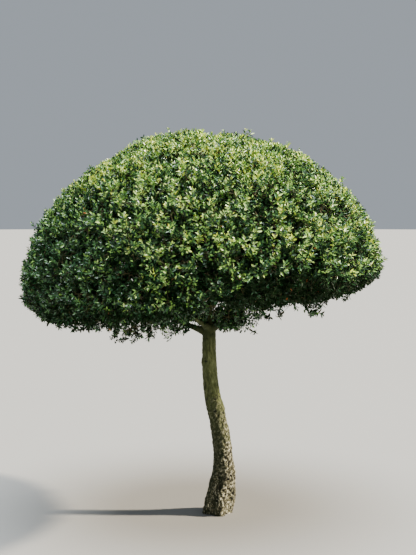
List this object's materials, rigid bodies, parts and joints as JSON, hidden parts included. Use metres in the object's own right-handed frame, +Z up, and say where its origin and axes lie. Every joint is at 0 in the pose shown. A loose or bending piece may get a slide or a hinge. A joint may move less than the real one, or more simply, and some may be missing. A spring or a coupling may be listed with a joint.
{
  "type": "dome-headed standard topiary shrub",
  "caption": "Standard topiary: a clipped evergreen dome of small glossy leaves on one bare, bowed stem with a flared root collar, rooted in the ground.",
  "frame": {"origin": "middle of the flat cut under the stem, at ground level", "axes": "+Z up; -Y towards the viewer of the picture; +X to the viewer's right. The rim of the dome droops towards -X"},
  "size_m": [1.8626, 1.8183, 1.9898],
  "materials": {
    "bark": "rough grey-brown bark, mottled beige, pitted low down",
    "young_bark": "smoother olive-brown bark of boughs and twigs",
    "foliage": "small glossy deep green leaves"
  },
  "bodies": {
    "root": {"trunk": "bark", "leader": "young_bark", "bough_left": "young_bark", "bough_front": "young_bark", "bough_front_right": "young_bark", "bough_back_right": "young_bark", "bough_back": "young_bark", "foliage_top": "foliage", "foliage_left": "foliage", "foliage_front": "foliage", "foliage_front_right": "foliage", "foliage_back_right": "foliage", "foliage_back": "foliage"}
  },
  "joints": []
}
